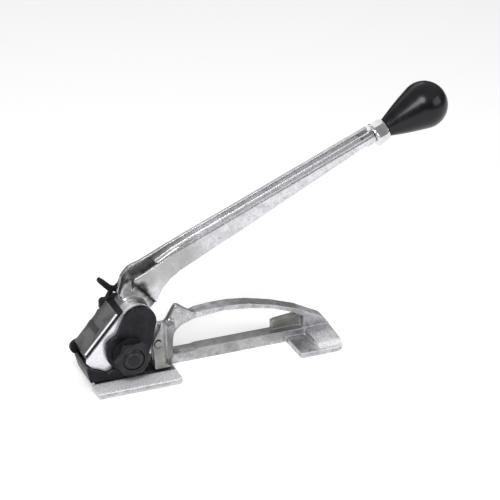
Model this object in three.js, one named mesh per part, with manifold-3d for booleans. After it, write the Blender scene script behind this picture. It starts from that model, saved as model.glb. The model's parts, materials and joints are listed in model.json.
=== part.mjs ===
// Strapping tensioner for steel strap: a feed wheel in a sprung rocker, driven by a ratchet lever.
// Millimetres. +X runs from the front foot to the rear foot, +Y away from the open strap side, +Z up.
// The origin is on the underside of the front foot, straight below the feed wheel's axis.
import * as THREE from 'three';
import { mergeVertices } from 'three/addons/utils/BufferGeometryUtils.js';
import Module from 'manifold-3d';

const wasm = await Module();
wasm.setup();

// Driving dimensions -------------------------------------------------------------------------
const gap = 0.3;                      // clearance between neighbouring pieces

const wheelAxis = { x: 0, z: 30.2 };  // feed shaft
const leverAxis = { x: 10.1, z: 59.5 };  // upper shaft, 31 mm away: the gear pair's centre distance
const rockerAxis = { x: 27, z: 35.5 };   // pin that the rocker tilts on
const catchAxis = { x: -8.7, z: 63.6 };   // pin of the holding pawl
const drivePawlAxis = { x: 25, z: 86 };  // pin of the drive pawl, in the lever

const gearModule = 2;
const pinionTeeth = 12;
const gearTeeth = 19;
const ratchetTeeth = 12;

const footTop = 6.3;                  // thickness of the front foot
const strapRoof = 9.2;                // underside of the web above the strap
const barNear = 22;                   // near face of the bar, and the strap's guide plane
const barFar = 36.4;
const barTop = 11.2;
const rearFootTop = 5;

const armNear = 0;                    // Y of the layers, from the open side to the back
const armFar = 5;
const cheekNear = armFar + gap;
const cheekFar = cheekNear + 2;
const hubNear = cheekFar + gap;
const hubFar = 36.5;
const shankNear = 20;
const saddleFar = 22.3;                // the hub is open below up to here, to clear the feed wheel
const channelNear = 23.4;
const pocketNear = 26;
const pocketFar = 33;
const plateNear = 37;
const plateFar = 41;
const gearNear = plateFar + 0.9;
const gearFar = gearNear + 6.5;
const shaftEnd = gearFar + 2.8;
const guardFar = shaftEnd + 1.8;
const wheelNear = cheekFar + 0.7;
const wheelFar = barNear - 0.5;

const wheelRadius = 23;
const shaftRadius = 9.7;
const bushRadius = 12;
const upperShaftRadius = 7;
const hubRadius = 16;
const hubBushRadius = 9.3;
const rockerPinRadius = 3;
const upperLobe = 16;                 // round ends of the near arm
const lowerLobe = 18.4;

const coverFoot = { x: -40.1, z: 35 };   // front face of the cover, seen from the side
const coverHead = { x: -9.4, z: 69.8 };
const coverWall = 1.6;
const coverNear = 6.4;
const coverFar = 36.4;

const knobAngle = THREE.MathUtils.degToRad(24);
const knobStart = { x: 250.4, y: 28.6, z: 192.6 };   // where the collar meets the lever
const knobRadius = 22.2;

const gripPlate = { x0: -15, x1: 15, y0: 3, y: 12, y1: 21, z0: 2.7, z1: 6.4, screws: [-9, 9] };
const springPost = { x: -14, y: 30, pinHeight: 26.6 };

// Colours --------------------------------------------------------------------------------------
const finish = {
  zinc: { color: 0xc4c4c8, roughness: 0.4, metalness: 0.85 },
  cast: { color: 0xb8b8bb, roughness: 0.5, metalness: 0.8 },
  chrome: { color: 0xdadbe0, roughness: 0.15, metalness: 1 },
  black: { color: 0x2c2c30, roughness: 0.4, metalness: 0.6 },
  steel: { color: 0x8c8c90, roughness: 0.35, metalness: 0.9 },
  bronze: { color: 0xa8824a, roughness: 0.4, metalness: 0.9 },
  plastic: { color: 0x161618, roughness: 0.35, metalness: 0 },
  label: { color: 0x505156, roughness: 0.5, metalness: 0.2 },
};

const tool = new THREE.Group();

// Shape helpers ----------------------------------------------------------------------------------
function toSolid(geometry) {
  const bare = geometry.clone();
  bare.deleteAttribute('normal');
  bare.deleteAttribute('uv');
  const merged = mergeVertices(bare, 1e-4);
  const mesh = new wasm.Mesh({
    numProp: 3,
    vertProperties: new Float32Array(merged.attributes.position.array),
    triVerts: new Uint32Array(merged.index.array),
  });
  return new wasm.Manifold(mesh);
}

function toGeometry(solid) {
  const mesh = solid.getMesh();
  const geometry = new THREE.BufferGeometry();
  geometry.setAttribute('position', new THREE.BufferAttribute(new Float32Array(mesh.vertProperties), 3));
  geometry.setIndex(new THREE.BufferAttribute(new Uint32Array(mesh.triVerts), 1));
  geometry.computeVertexNormals();
  return geometry;
}

function join(...solids) {
  return solids.reduce((whole, next) => whole.add(next));
}

function cut(solid, ...tools) {
  return tools.reduce((rest, next) => rest.subtract(next), solid);
}

// An outline in X and Z, drawn out along Y from near to far.
function slab(outline, near, far) {
  const shape = new THREE.Shape(outline.map(([x, z]) => new THREE.Vector2(x, z)));
  const geometry = new THREE.ExtrudeGeometry(shape, { depth: far - near, bevelEnabled: false });
  geometry.rotateX(Math.PI / 2);
  geometry.translate(0, far, 0);
  return toSolid(geometry);
}

// An outline in X and Y, drawn up along Z.
function plan(outline, low, high) {
  const shape = new THREE.Shape(outline.map(([x, y]) => new THREE.Vector2(x, y)));
  const geometry = new THREE.ExtrudeGeometry(shape, { depth: high - low, bevelEnabled: false });
  geometry.translate(0, 0, low);
  return toSolid(geometry);
}

function box(x0, x1, y0, y1, z0, z1) {
  const geometry = new THREE.BoxGeometry(x1 - x0, y1 - y0, z1 - z0);
  geometry.translate((x0 + x1) / 2, (y0 + y1) / 2, (z0 + z1) / 2);
  return toSolid(geometry);
}

// An outline in Y and Z, drawn out along X.
function acrossX(outline, low, high) {
  const shape = new THREE.Shape(outline.map(([y, z]) => new THREE.Vector2(y, z)));
  const geometry = new THREE.ExtrudeGeometry(shape, { depth: high - low, bevelEnabled: false });
  geometry.applyMatrix4(new THREE.Matrix4().makeBasis(
    new THREE.Vector3(0, 1, 0),
    new THREE.Vector3(0, 0, 1),
    new THREE.Vector3(1, 0, 0),
  ));
  geometry.translate(low, 0, 0);
  return toSolid(geometry);
}

// A round bar along Y.
function rod(axis, radius, near, far, sides = 24) {
  const geometry = new THREE.CylinderGeometry(radius, radius, far - near, sides);
  geometry.translate(axis.x, (near + far) / 2, axis.z);
  return toSolid(geometry);
}

// A round bar along Z.
function post(x, y, radius, low, high, sides = 20) {
  const geometry = new THREE.CylinderGeometry(radius, radius, high - low, sides);
  geometry.rotateX(Math.PI / 2);
  geometry.translate(x, y, (low + high) / 2);
  return toSolid(geometry);
}

// A wedge about an axis along Y, from one angle to another in degrees.
function sector(axis, from, to, radius, near, far) {
  const outline = [[axis.x, axis.z]];
  for (let i = 0; i <= 6; i += 1) {
    const turn = THREE.MathUtils.degToRad(from + ((to - from) * i) / 6);
    outline.push([axis.x + radius * Math.cos(turn), axis.z + radius * Math.sin(turn)]);
  }
  return slab(outline, near, far);
}

function ring(axis, inner, outer, near, far, sides = 24) {
  return cut(rod(axis, outer, near, far, sides), rod(axis, inner, near - 1, far + 1, sides));
}

// The band stretched round a set of circles { x, z, r }: its corner points, in order.
function bandRound(circles, steps = 28) {
  const points = [];
  for (const circle of circles) {
    for (let i = 0; i < steps; i += 1) {
      const turn = (i / steps) * 2 * Math.PI;
      points.push([circle.x + circle.r * Math.cos(turn), circle.z + circle.r * Math.sin(turn)]);
    }
  }
  points.sort((a, b) => a[0] - b[0] || a[1] - b[1]);
  const half = (list) => {
    const chain = [];
    for (const p of list) {
      while (chain.length > 1) {
        const [a, b] = chain.slice(-2);
        if ((b[0] - a[0]) * (p[1] - a[1]) - (b[1] - a[1]) * (p[0] - a[0]) > 1e-6) break;
        chain.pop();
      }
      chain.push(p);
    }
    chain.pop();
    return chain;
  };
  return [...half(points), ...half([...points].reverse())];
}

const circle = (axis, r) => ({ x: axis.x, z: axis.z, r });

function bandSlab(circles, near, far, steps) {
  return slab(bandRound(circles, steps), near, far);
}

// A point on the cover's front line: along it from its foot, and in towards the shafts.
function coverPoint(along, inward) {
  const dx = coverHead.x - coverFoot.x;
  const dz = coverHead.z - coverFoot.z;
  const length = Math.hypot(dx, dz);
  const ux = dx / length;
  const uz = dz / length;
  return [coverFoot.x + ux * along + uz * inward, coverFoot.z + uz * along - ux * inward];
}

const coverLength = Math.hypot(coverHead.x - coverFoot.x, coverHead.z - coverFoot.z);

// A toothed outline: each tooth is a list of [share of the pitch, radius].
function toothed(axis, teeth, phase, profile) {
  const outline = [];
  for (let i = 0; i < teeth; i += 1) {
    for (const [share, radius] of profile) {
      const turn = phase + ((i + share) / teeth) * 2 * Math.PI;
      outline.push([axis.x + radius * Math.cos(turn), axis.z + radius * Math.sin(turn)]);
    }
  }
  return outline;
}

function gearOutline(axis, teeth, phase) {
  const pitch = (gearModule * teeth) / 2;
  const tip = pitch + gearModule;
  const root = pitch - 1.25 * gearModule;
  return toothed(axis, teeth, phase, [
    [-0.31, root],
    [-0.225, pitch],
    [-0.1, tip],
    [0.1, tip],
    [0.225, pitch],
    [0.31, root],
  ]);
}

function helix(x, y, low, high, radius, wire, turns) {
  class Coil extends THREE.Curve {
    getPoint(t, target = new THREE.Vector3()) {
      const turn = t * turns * 2 * Math.PI;
      const height = low + wire + (high - low - 2 * wire) * t;
      return target.set(x + radius * Math.cos(turn), y + radius * Math.sin(turn), height);
    }
  }
  const section = new THREE.Shape();
  section.absarc(0, 0, wire, 0, 2 * Math.PI);
  return new THREE.ExtrudeGeometry(section, {
    steps: Math.round(turns * 12),
    curveSegments: 3,
    extrudePath: new Coil(),
    bevelEnabled: false,
  });
}

function add(name, shape, look, parent = tool) {
  const geometry = shape.isBufferGeometry ? shape : toGeometry(shape);
  const mesh = new THREE.Mesh(geometry, new THREE.MeshStandardMaterial(look));
  mesh.name = name;
  parent.add(mesh);
  return mesh;
}

// Base casting -----------------------------------------------------------------------------------
function frontFoot() {
  const side = slab([[-31, 0], [40.5, 0], [44, 3], [44, footTop], [-38.5, footTop], [-38.5, 5.4]],
    -18, barFar);
  const top = plan([[-36, -18], [41, -18], [45, -14], [45, barFar], [-33, barFar], [-33, 2], [-37.8, 0]],
    -1, footTop + 1);
  const guideRib = box(-32, 25, barNear, barNear + 1.7, footTop - 1, strapRoof - 0.7);
  const underCut = acrossX([[-19, -1], [-19, 2.7], [-12.7, 0], [-12.7, -1]].reverse(), -60, 60);
  return join(cut(side.intersect(top), underCut), guideRib);
}

// The column between foot and grip: it stands behind the strap and leans out over it.
function column() {
  const side = slab([
    [23.5, 5], [47.5, 5], [48.5, 25], [50.5, 30.6], [57, 37], [58, 44], [42, 45], [38, 50], [36, 56],
    [34, 57.5], [30, 57.5], [28.8, 50], [24.5, 43], [21.5, 33], [23.5, 14],
  ], armNear, barFar);
  const top = plan([
    [20, 0], [39, 0], [43, 3], [45.5, 9], [47, 15], [50, 20], [60, barNear], [60, barFar], [20, barFar],
  ], 0, 70);
  const strapWay = box(15, 70, -1, barNear, footTop - 2, strapRoof);
  const hubRoom = rod(leverAxis, hubRadius + 1.2, hubNear - 0.4, 40);
  const wheelRoom = rod(wheelAxis, wheelRadius + 0.8, cheekFar, barNear + 0.3, 48);
  const cheekRoom = slab([[10, 15], [37, 15], [37, 46], [33, 62], [10, 62]], armFar, hubNear);
  const lean = acrossX([[-1, 57.6], [18, 46.4], [22, 44.8], [38, 39], [38, 70], [-1, 70]].reverse(), 0, 80);
  const flare = wasm.Manifold.hull([
    [29, -3, 70], [51.5, 22, 70], [75, 22, 70], [75, -3, 70], [29, -3, 17], [51.5, 22, 17], [75, 22, 17],
    [75, -3, 17], [44, -3, 7], [50, 17, 7], [75, 17, 7], [75, -3, 7],
  ]);
  return cut(side.intersect(top), strapWay, hubRoom, wheelRoom, cheekRoom, lean, flare);
}

// The hand grip arches over the bar. Its outline: the top edge out, the underside back.
function grip() {
  const topEdge = [[56, 46.5], [72, 48], [90, 49.4], [107, 49.2], [125, 47], [150, 41], [175, 32.2],
    [201, 18.6]];
  const end = [[206, 12], [206, 4], [180, 4], [180, 23.5]];
  const underside = [[167, 30.4], [147, 37.8], [125, 42.2], [98, 45], [73, 42.6], [57, 36.8],
    [50.5, 30.6], [48, 25], [44, 25]];
  return slab([[44, 40], ...topEdge, ...end, ...underside], barNear, barFar);
}

function horn() {
  return slab([[41.5, 42], [51, 58], [53, 59.6], [55.5, 59], [61, 54.5], [72, 47.5], [60, 42]],
    barNear, barNear + 8);
}

function rearFoot() {
  const corner = [];
  for (let i = 0; i <= 5; i += 1) {
    const turn = (-90 + 18 * i) * (Math.PI / 180);
    corner.push([198 + 8 * Math.cos(turn), -6 + 8 * Math.sin(turn)]);
  }
  const plate = plan([[162, -14], ...corner, [206, 24], [162, 24]], 0, rearFootTop);
  const pad = plan([[182, -14], ...corner, [206, 24], [181, 24]], 1, barTop + 1);
  const slopeCut = acrossX([[-20, 2], [-14, 4.4], [-3.5, 8.6], [barNear, barTop], [30, barTop], [30, 20],
    [-20, 20]].reverse(), 175, 215);
  return join(plate, cut(pad, slopeCut));
}

function baseFrame() {
  const bar = box(43, 190, barNear, barFar, 0, barTop);
  const wall = slab([[151, 8], [181, 8], [181, 23.5], [154, 20.8], [151, 19.6]], 30, barFar);
  const body = join(frontFoot(), column(), bar, grip(), horn(), wall, rearFoot());
  return cut(
    body,
    rod(rockerAxis, rockerPinRadius + gap, -5, 50, 24),
    box(gripPlate.x0 - gap, gripPlate.x1 + gap, gripPlate.y0 - gap, gripPlate.y1 + gap,
      gripPlate.z0 - gap, 12),
    ...gripPlate.screws.map((x) => post(x, gripPlate.y, 2.5, -1, 5)),
    ...gripPlate.screws.map((x) => post(x, gripPlate.y, 4, -1, 1.4)),
    post(springPost.x, springPost.y, 2.3, -1, 9),
    post(springPost.x, springPost.y, 4.2, -1, 0.9),
  );
}

// Gripper plate under the feed wheel ---------------------------------------------------------------
function gripperPlate() {
  const ridges = [[gripPlate.x0, gripPlate.z0], [gripPlate.x1, gripPlate.z0]];
  const count = 15;
  const step = (gripPlate.x1 - gripPlate.x0) / count;
  for (let i = 0; i < count; i += 1) {
    ridges.push([gripPlate.x1 - i * step, gripPlate.z1]);
    ridges.push([gripPlate.x1 - (i + 0.8) * step, gripPlate.z1 + 0.5]);
  }
  ridges.push([gripPlate.x0, gripPlate.z1]);
  return cut(slab(ridges, gripPlate.y0, gripPlate.y1),
    ...gripPlate.screws.map((x) => post(x, gripPlate.y, 2.3, 0, 5.4)));
}

function gripperScrew(x) {
  const head = cut(post(x, gripPlate.y, 3.6, 0.1, 1.1), post(x, gripPlate.y, 1.6, -1, 0.8, 6));
  return join(head, post(x, gripPlate.y, 2, 1, 5));
}

// Feed shaft, wheel and gear -------------------------------------------------------------------------
const keyHalf = 2.5;
const clipRim = 0.9;

function keyWay(axis, radius, near, far) {
  return box(axis.x - keyHalf, axis.x + keyHalf, near, far, axis.z + radius - 2.8, axis.z + radius + 2.8);
}

function key(axis, radius, near, far) {
  const half = keyHalf - gap;
  return box(axis.x - half, axis.x + half, near, far, axis.z + radius - 2.5, axis.z + radius + 2.5);
}

function feedWheel() {
  const teeth = toothed(wheelAxis, 60, 0, [[0, wheelRadius - 0.9], [0.7, wheelRadius]]);
  return cut(slab(teeth, wheelNear, wheelFar),
    rod(wheelAxis, shaftRadius + gap, 0, 50),
    keyWay(wheelAxis, shaftRadius, 0, 50));
}

function feedShaft() {
  const end = new THREE.LatheGeometry([
    [0, -12.2], [6.5, -12], [shaftRadius - 1.2, -11.2], [shaftRadius, -10.2], [shaftRadius, shaftEnd - 0.8],
    [shaftRadius - 1, shaftEnd], [0, shaftEnd],
  ].map(([r, y]) => new THREE.Vector2(r, y)), 32);
  end.translate(wheelAxis.x, 0, wheelAxis.z);
  const groove = ring(wheelAxis, shaftRadius - 1, shaftRadius + 2, gearFar + 0.3, gearFar + 1.6);
  return cut(toSolid(end), groove,
    keyWay(wheelAxis, shaftRadius, wheelNear + 0.6, wheelFar - 0.6),
    keyWay(wheelAxis, shaftRadius, gearNear + 0.6, gearFar - 0.6));
}

function hexNut(axis, flats, bore, near, far) {
  const body = new THREE.CylinderGeometry(flats / Math.sqrt(3), flats / Math.sqrt(3), far - near, 6);
  body.rotateY(Math.PI / 6);
  body.translate(axis.x, (near + far) / 2, axis.z);
  const crown = new THREE.CylinderGeometry(flats * 0.5 + 8.2, flats * 0.5 - 0.4, far - near + 1, 36);
  crown.translate(axis.x, (near + far + 1) / 2, axis.z);
  return cut(toSolid(body).intersect(toSolid(crown)), rod(axis, bore, near - 1, far + 1));
}

function gear(axis, teeth, phase, bore, keyRadius) {
  return cut(slab(gearOutline(axis, teeth, phase), gearNear, gearFar),
    rod(axis, bore, 0, 60),
    keyWay(axis, keyRadius, 0, 60));
}

function clip(axis, radius, near) {
  const open = slab([[axis.x - 1.5, axis.z], [axis.x + 1.5, axis.z], [axis.x + 2.5, axis.z - 20],
    [axis.x - 2.5, axis.z - 20]], near - 1, near + 3);
  return cut(ring(axis, radius - 0.7, radius + clipRim, near, near + 1), open);
}

function rockerPin() {
  return cut(rod(rockerAxis, rockerPinRadius, -0.7, plateFar + 2.4, 24),
    ring(rockerAxis, rockerPinRadius - 1, rockerPinRadius + 2, plateFar + 0.3, plateFar + 1.7));
}

// Rocker: near arm, cheek, block, cover, far plate and gear guard -----------------------------------
function nearArm() {
  const arm = bandSlab([circle(leverAxis, upperLobe), circle(wheelAxis, lowerLobe)], armNear, armFar, 32);
  const nose = [[-37.6, strapRoof], [-40.7, 21], [-39.6, 25], [-33.9, 20.2], [-27.7, 17.9], [-21.6, 14.6]];
  const shoulder = slab([[-11.6, 50.5], [-17, 47.5], [-21, 44.1], [-22.2, 38.3], [-21.6, 32], [-20, 25.9],
    [-16, 20], [-5, 30], [-6, 46]], armNear, armFar);
  const sole = slab([...nose, [-10, 20], [4, strapRoof]].reverse(), armNear, armFar);
  const depth = slab([...nose, [-19.5, strapRoof]].reverse(), armFar - 1, plateNear - gap);
  return cut(join(arm, shoulder, sole, depth),
    rod(leverAxis, upperShaftRadius + gap, 2.3, 9),
    rod(wheelAxis, bushRadius + gap, -1, 9, 36));
}

function cheekOutline() {
  return [
    [-39, 26.2], [-38.4, 30.4], coverPoint(2, 4.4), coverPoint(coverLength - 3, 4.4), [-3.2, 69.6],
  ];
}

function nearCheek() {
  const front = slab([...cheekOutline(), [2, 60], [-5, 40], [-16, 17.5], [-21.3, 15.2], [-27.6, 18.4],
    [-33.8, 20.7]].reverse(), cheekNear, cheekFar);
  const body = bandSlab([circle(leverAxis, 14.5), circle(wheelAxis, 15.5), circle(rockerAxis, 7)],
    cheekNear, cheekFar);
  return cut(join(front, body),
    rod(leverAxis, upperShaftRadius + gap, 0, 50),
    rod(wheelAxis, shaftRadius + gap, 0, 50),
    rod(rockerAxis, rockerPinRadius + gap, 0, 50, 24));
}

const blockScrews = [{ x: -13.5, z: 50.5 }, { x: -28, z: 33 }];

function frontBlock() {
  const body = slab([
    coverPoint(1.5, coverWall + gap), [-38.4, 28.6], [-33, 26], [-20, 31], [-12, 40], [0, 46], [0, 69],
    [-2.8, 70.6],
    coverPoint(coverLength - 0.4, coverWall + gap),
  ].reverse(), coverNear + coverWall + gap, plateNear - gap);
  return cut(body,
    rod(leverAxis, hubRadius + 0.5, 0, 50, 40),
    rod(wheelAxis, wheelRadius + 0.6, 0, barNear + 0.3, 48),
    rod(wheelAxis, shaftRadius + 6, 0, 50, 36),
    ...blockScrews.map((axis) => rod(axis, 2.3, 25, 50, 16)));
}

function cover() {
  const face = slab([coverPoint(0, 0), coverPoint(coverLength, 0), coverPoint(coverLength, coverWall),
    coverPoint(0, coverWall)], coverNear, coverFar);
  const flange = [coverPoint(0, 0), coverPoint(coverLength, 0), coverPoint(coverLength - 0.6, 2.6),
    coverPoint(0.6, 2.6)];
  return join(face, slab(flange, coverNear, coverNear + coverWall));
}

function labelPlate() {
  const outline = [coverPoint(19.3, -0.7), coverPoint(24.8, -0.7), coverPoint(24.8, -0.3),
    coverPoint(19.3, -0.3)];
  return slab(outline, 14.5, coverFar - 0.5);
}

function farPlate() {
  const upper = bandSlab([circle(leverAxis, upperLobe), circle(catchAxis, 6.4)],
    plateNear, plateFar);
  const lower = bandSlab([circle(wheelAxis, lowerLobe), { x: -37.6, z: 27.5, r: 6.6 }],
    plateNear, plateFar);
  const back = bandSlab([
    circle(leverAxis, upperLobe),
    circle(wheelAxis, lowerLobe),
    circle(rockerAxis, 8.6),
  ], plateNear, plateFar);
  const front = slab([coverPoint(1, 3), coverPoint(coverLength, 3), [10, 60], [0, 30]].reverse(),
    plateNear, plateFar);
  return cut(join(upper, lower, back, front),
    rod(leverAxis, upperShaftRadius + gap, 0, 60),
    rod(wheelAxis, bushRadius + gap, 0, 60, 36),
    rod(rockerAxis, rockerPinRadius + gap, 0, 60, 24),
    rod(catchAxis, 2.5 + gap, 0, 60, 20),
    rod(springPin, 1.8, 20, 60, 16),
    ...blockScrews.map((axis) => flushSeat(axis)),
    ...guardScrews.map((axis) => rod(axis, 1.8, 20, 60, 16)));
}

const guardScrews = [{ x: 27.6, z: 47 }, { x: -24.5, z: 22 }];

function guard() {
  const ears = guardScrews.map((axis) => bandSlab([{ x: axis.x, z: axis.z, r: 4 }, circle(wheelAxis, 8)],
    plateFar + gap, plateFar + gap + 2.5, 20));
  const shell = bandSlab([circle(leverAxis, 16.3), circle(wheelAxis, 22.8)], plateFar + gap, guardFar, 32);
  const room = bandSlab([circle(leverAxis, 14.6), circle(wheelAxis, 21.4)],
    plateFar - 1, guardFar - 1.5, 32);
  const catchRoom = slab([[-20, 54], [-6, 54], [1, 60], [12, 70], [16, 80], [-20, 80]], plateFar - 1, 60);
  return cut(join(shell, ...ears), room, catchRoom, rod(rockerAxis, 5, 30, 60),
    ...guardScrews.map((axis) => rod(axis, 1.8, 20, 60, 16)));
}

function flushScrew(axis) {
  const cone = new THREE.LatheGeometry([[0, 26], [2, 26], [2, 38.6], [3.8, 40.4], [3.8, 40.8], [0, 40.8]]
    .map(([r, y]) => new THREE.Vector2(r, y)), 20);
  cone.translate(axis.x, 0, axis.z);
  return cut(toSolid(cone), rod(axis, 1.5, 39, 45, 6));
}

function flushSeat(axis) {
  const cone = new THREE.LatheGeometry([[0, 20], [2.3, 20], [2.3, 38.5], [4.1, 40.3], [4.1, 60], [0, 60]]
    .map(([r, y]) => new THREE.Vector2(r, y)), 20);
  cone.translate(axis.x, 0, axis.z);
  return toSolid(cone);
}

const springPin = { x: springPost.x, z: springPost.pinHeight };

function capScrew(axis, radius, length, headFrom) {
  const head = cut(rod(axis, radius * 1.75, headFrom, headFrom + radius * 1.6, 20),
    rod(axis, radius * 0.85, headFrom + 0.8, headFrom + 9, 6));
  return join(head, rod(axis, radius, headFrom - length, headFrom + 0.2, 16));
}

// Holding pawl on the far plate, with its finger lever ---------------------------------------------
const catchGapAngle = Math.atan2(wheelAxis.z - leverAxis.z, wheelAxis.x - leverAxis.x)
  - (4.5 / pinionTeeth) * 2 * Math.PI;

function onLever(radius, turn) {
  return [leverAxis.x + radius * Math.cos(turn), leverAxis.z + radius * Math.sin(turn)];
}

function holdingPawl() {
  const boss = rod(catchAxis, 4.5, gearNear, gearFar - 1, 28);
  const body = slab([
    [-7.4, 67.6], [-3.6, 74], [-8.2, 78.8], [-14.2, 85.6], [-13.9, 87.8], [-11.8, 89], [-7.6, 85.8],
    [-1, 79.2], [2.2, 78], [5.4, 80.4], [7, 84.6], [10.4, 83.6], [9, 79.4], [8, 77.2],
    onLever(17.4, catchGapAngle - 0.1), onLever(14.4, catchGapAngle - 0.055),
    onLever(14.35, catchGapAngle + 0.05), onLever(17.8, catchGapAngle + 0.14), [-3.6, 67], [-4.6, 62],
  ].reverse(), gearNear + 0.4, gearFar - 1.4);
  return cut(join(boss, body), rod(catchAxis, 2.5 + gap, 0, 60, 20));
}

// Upper shaft, its pinion and ratchet ------------------------------------------------------------------
function upperShaft() {
  const body = new THREE.LatheGeometry([
    [0, 2.6], [upperShaftRadius - 0.8, 2.6], [upperShaftRadius, 3.4], [upperShaftRadius, shaftEnd - 0.8],
    [upperShaftRadius - 0.8, shaftEnd], [0, shaftEnd],
  ].map(([r, y]) => new THREE.Vector2(r, y)), 28);
  body.translate(leverAxis.x, 0, leverAxis.z);
  const groove = ring(leverAxis, upperShaftRadius - 1, upperShaftRadius + 2, gearFar + 0.3, gearFar + 1.6);
  return cut(toSolid(body), groove,
    smallKeyWay(pocketNear + 1.2, pocketFar - 1.2),
    smallKeyWay(gearNear + 0.6, gearFar - 0.6));
}

function smallKeyWay(near, far) {
  return box(leverAxis.x - 1.6, leverAxis.x + 1.6, near, far,
    leverAxis.z + upperShaftRadius - 1.5, leverAxis.z + upperShaftRadius + 1.7);
}

function smallKey(near, far) {
  return box(leverAxis.x - 1.3, leverAxis.x + 1.3, near, far,
    leverAxis.z + upperShaftRadius - 1.2, leverAxis.z + upperShaftRadius + 1.4);
}

function pinion(phase) {
  return cut(slab(gearOutline(leverAxis, pinionTeeth, phase), gearNear, gearFar),
    rod(leverAxis, upperShaftRadius + gap, 0, 60),
    smallKeyWay(0, 60));
}

const drivePawlAngle = THREE.MathUtils.degToRad(84);

function ratchetWheel() {
  const teeth = toothed(leverAxis, ratchetTeeth, drivePawlAngle, [[0.04, 10.6], [0.94, 13]]);
  return cut(slab(teeth, pocketNear + 0.5, pocketFar - 0.5),
    rod(leverAxis, upperShaftRadius + gap, 0, 60),
    smallKeyWay(0, 60));
}

// Lever: hub, channel shank, drive pawl, collar and knob -----------------------------------------------
const shankTop = [[0.5, 77], [2.8, 85], [6.5, 91.5], [12, 96.6], [22.6, 101.2], [34, 107], [51, 117],
  [67.6, 124.4], [114, 143.8], [245.7, 199.6]];
const shankUnder = [[247.6, 190.6], [114, 122.6], [77, 104.6], [56.6, 94.3], [47, 87.6], [40.3, 80.2],
  [35, 69.4], [32.2, 63.6], [27, 59]];

function lowered(points, drop) {
  return points.map(([x, z], i) => {
    const [ax, az] = points[Math.max(i - 1, 0)];
    const [bx, bz] = points[Math.min(i + 1, points.length - 1)];
    const length = Math.hypot(bx - ax, bz - az);
    return [x + ((bz - az) / length) * drop, z - ((bx - ax) / length) * drop];
  });
}

function handle() {
  const hub = rod(leverAxis, hubRadius, hubNear, hubFar, 48);
  const shank = slab([...shankTop, ...shankUnder, [10, 60]].reverse(), shankNear, hubFar);
  const farFlange = slab([[3, 84], [4.1, 92.1], [8, 97.2], [12, 100.8], [17, 102.8], [23.6, 104.8],
    [33.4, 109.2], [51, 117.4], [51, 108], [20, 92]].reverse(), pocketFar, hubFar);
  const floorLine = lowered(shankTop.slice(4), 5.4);
  const channel = slab([...floorLine, [250, 230], [0, 190], [0, 100], [18, 88]], channelNear, pocketFar);
  const nearEdge = slab([...lowered(shankTop.slice(3), 3.4), [250, 230], [0, 190], [0, 100]],
    shankNear - 1, channelNear + 0.01);
  const pawlRoom = slab([[4, 70], [18, 70], [24, 78], [29, 80.5], [36, 81.5], [40, 100], [20, 112],
    [-5, 104], [-4, 84]], pocketNear, pocketFar);
  const ratchetRoom = rod(leverAxis, 13.6, pocketNear, pocketFar, 36);
  const aroundHub = [[-20, 74], [8, 60], [31, 58], [33.5, 65.5], [12.5, 90.1], [13.6, 98], [0, 104],
    [-20, 100]];
  const nearShoulder = cut(slab(aroundHub, shankNear - 1, channelNear + 0.01),
    rod(leverAxis, hubRadius, 0, 40, 48));
  const saddleRoom = sector(leverAxis, 161, 327, 30, hubNear - 1, saddleFar);
  const bore = join(rod(leverAxis, upperShaftRadius + gap, 0, 30, 32),
    rod(leverAxis, hubBushRadius + gap, saddleFar + 0.2, 60, 36));
  const oilHole = post(leverAxis.x - 2.4, 15.5, 1.5, 66, 90, 12);
  const pinHole = rod(drivePawlAxis, 2.3, shankNear + 1.5, 40, 20);
  return cut(join(hub, shank, farFlange, endBoss()), channel, pawlRoom, ratchetRoom, nearShoulder, bore,
    oilHole, pinHole, saddleRoom, nearEdge, studRoom());
}

// Pieces on the knob's axis are turned about it, then laid along it.
function alongKnob(geometry) {
  geometry.rotateZ(-Math.PI / 2);
  geometry.rotateY(-knobAngle);
  geometry.translate(knobStart.x, knobStart.y, knobStart.z);
  return geometry;
}

function turned(profile, sides) {
  return new THREE.LatheGeometry(profile.map(([r, s]) => new THREE.Vector2(r, s)), sides);
}

function endBoss() {
  return toSolid(alongKnob(turned([[0, -14], [4.6, -14], [6.4, -9], [6.4, -gap], [0, -gap]], 28)));
}

function studRoom() {
  return toSolid(alongKnob(turned([[0, -12], [4.3, -12], [4.3, 5], [0, 5]], 20)));
}

function knobStud() {
  return alongKnob(turned([[0, -11.5], [3.4, -11.5], [4, -10.8], [4, 30], [3.4, 30.7], [0, 30.7]], 20));
}

function collar() {
  const washer = toSolid(alongKnob(turned([[0, 0], [10.6, 0], [11.3, 0.7], [10.6, 2.2], [0, 2.2]], 36)));
  const hexRadius = 10.8;
  const prism = new THREE.CylinderGeometry(hexRadius, hexRadius, 12, 6).translate(0, 7, 0);
  const hex = toSolid(alongKnob(prism));
  const crown = toSolid(alongKnob(turned([[0, 0], [14, 0], [11.4, 9.6], [9.6, 13], [0, 13]], 36)));
  const bore = toSolid(alongKnob(turned([[0, -2], [4.3, -2], [4.3, 16], [0, 16]], 20)));
  return cut(join(washer, hex.intersect(crown)), bore);
}

function knob() {
  const neck = 13.3;
  const centre = neck + 42.6;
  const profile = [[0, neck], [8.2, neck], [9, neck + 0.8]];
  const tangent = THREE.MathUtils.degToRad(108);
  const reach = [centre + knobRadius * Math.cos(tangent), knobRadius * Math.sin(tangent)];
  profile.push([(9 + reach[1]) / 2 + 0.9, (neck + 0.8 + reach[0]) / 2]);
  const steps = 10;
  for (let i = 0; i <= steps; i += 1) {
    const turn = tangent * (1 - i / steps);
    profile.push([knobRadius * Math.sin(turn), centre + knobRadius * Math.cos(turn)]);
  }
  profile[profile.length - 1][0] = 0;
  const body = toSolid(alongKnob(turned(profile, 32)));
  const hole = [[0, neck - 2], [4.3, neck - 2], [4.3, neck + 18], [0, neck + 18]];
  const bore = toSolid(alongKnob(turned(hole, 20)));
  return cut(body, bore);
}

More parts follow.
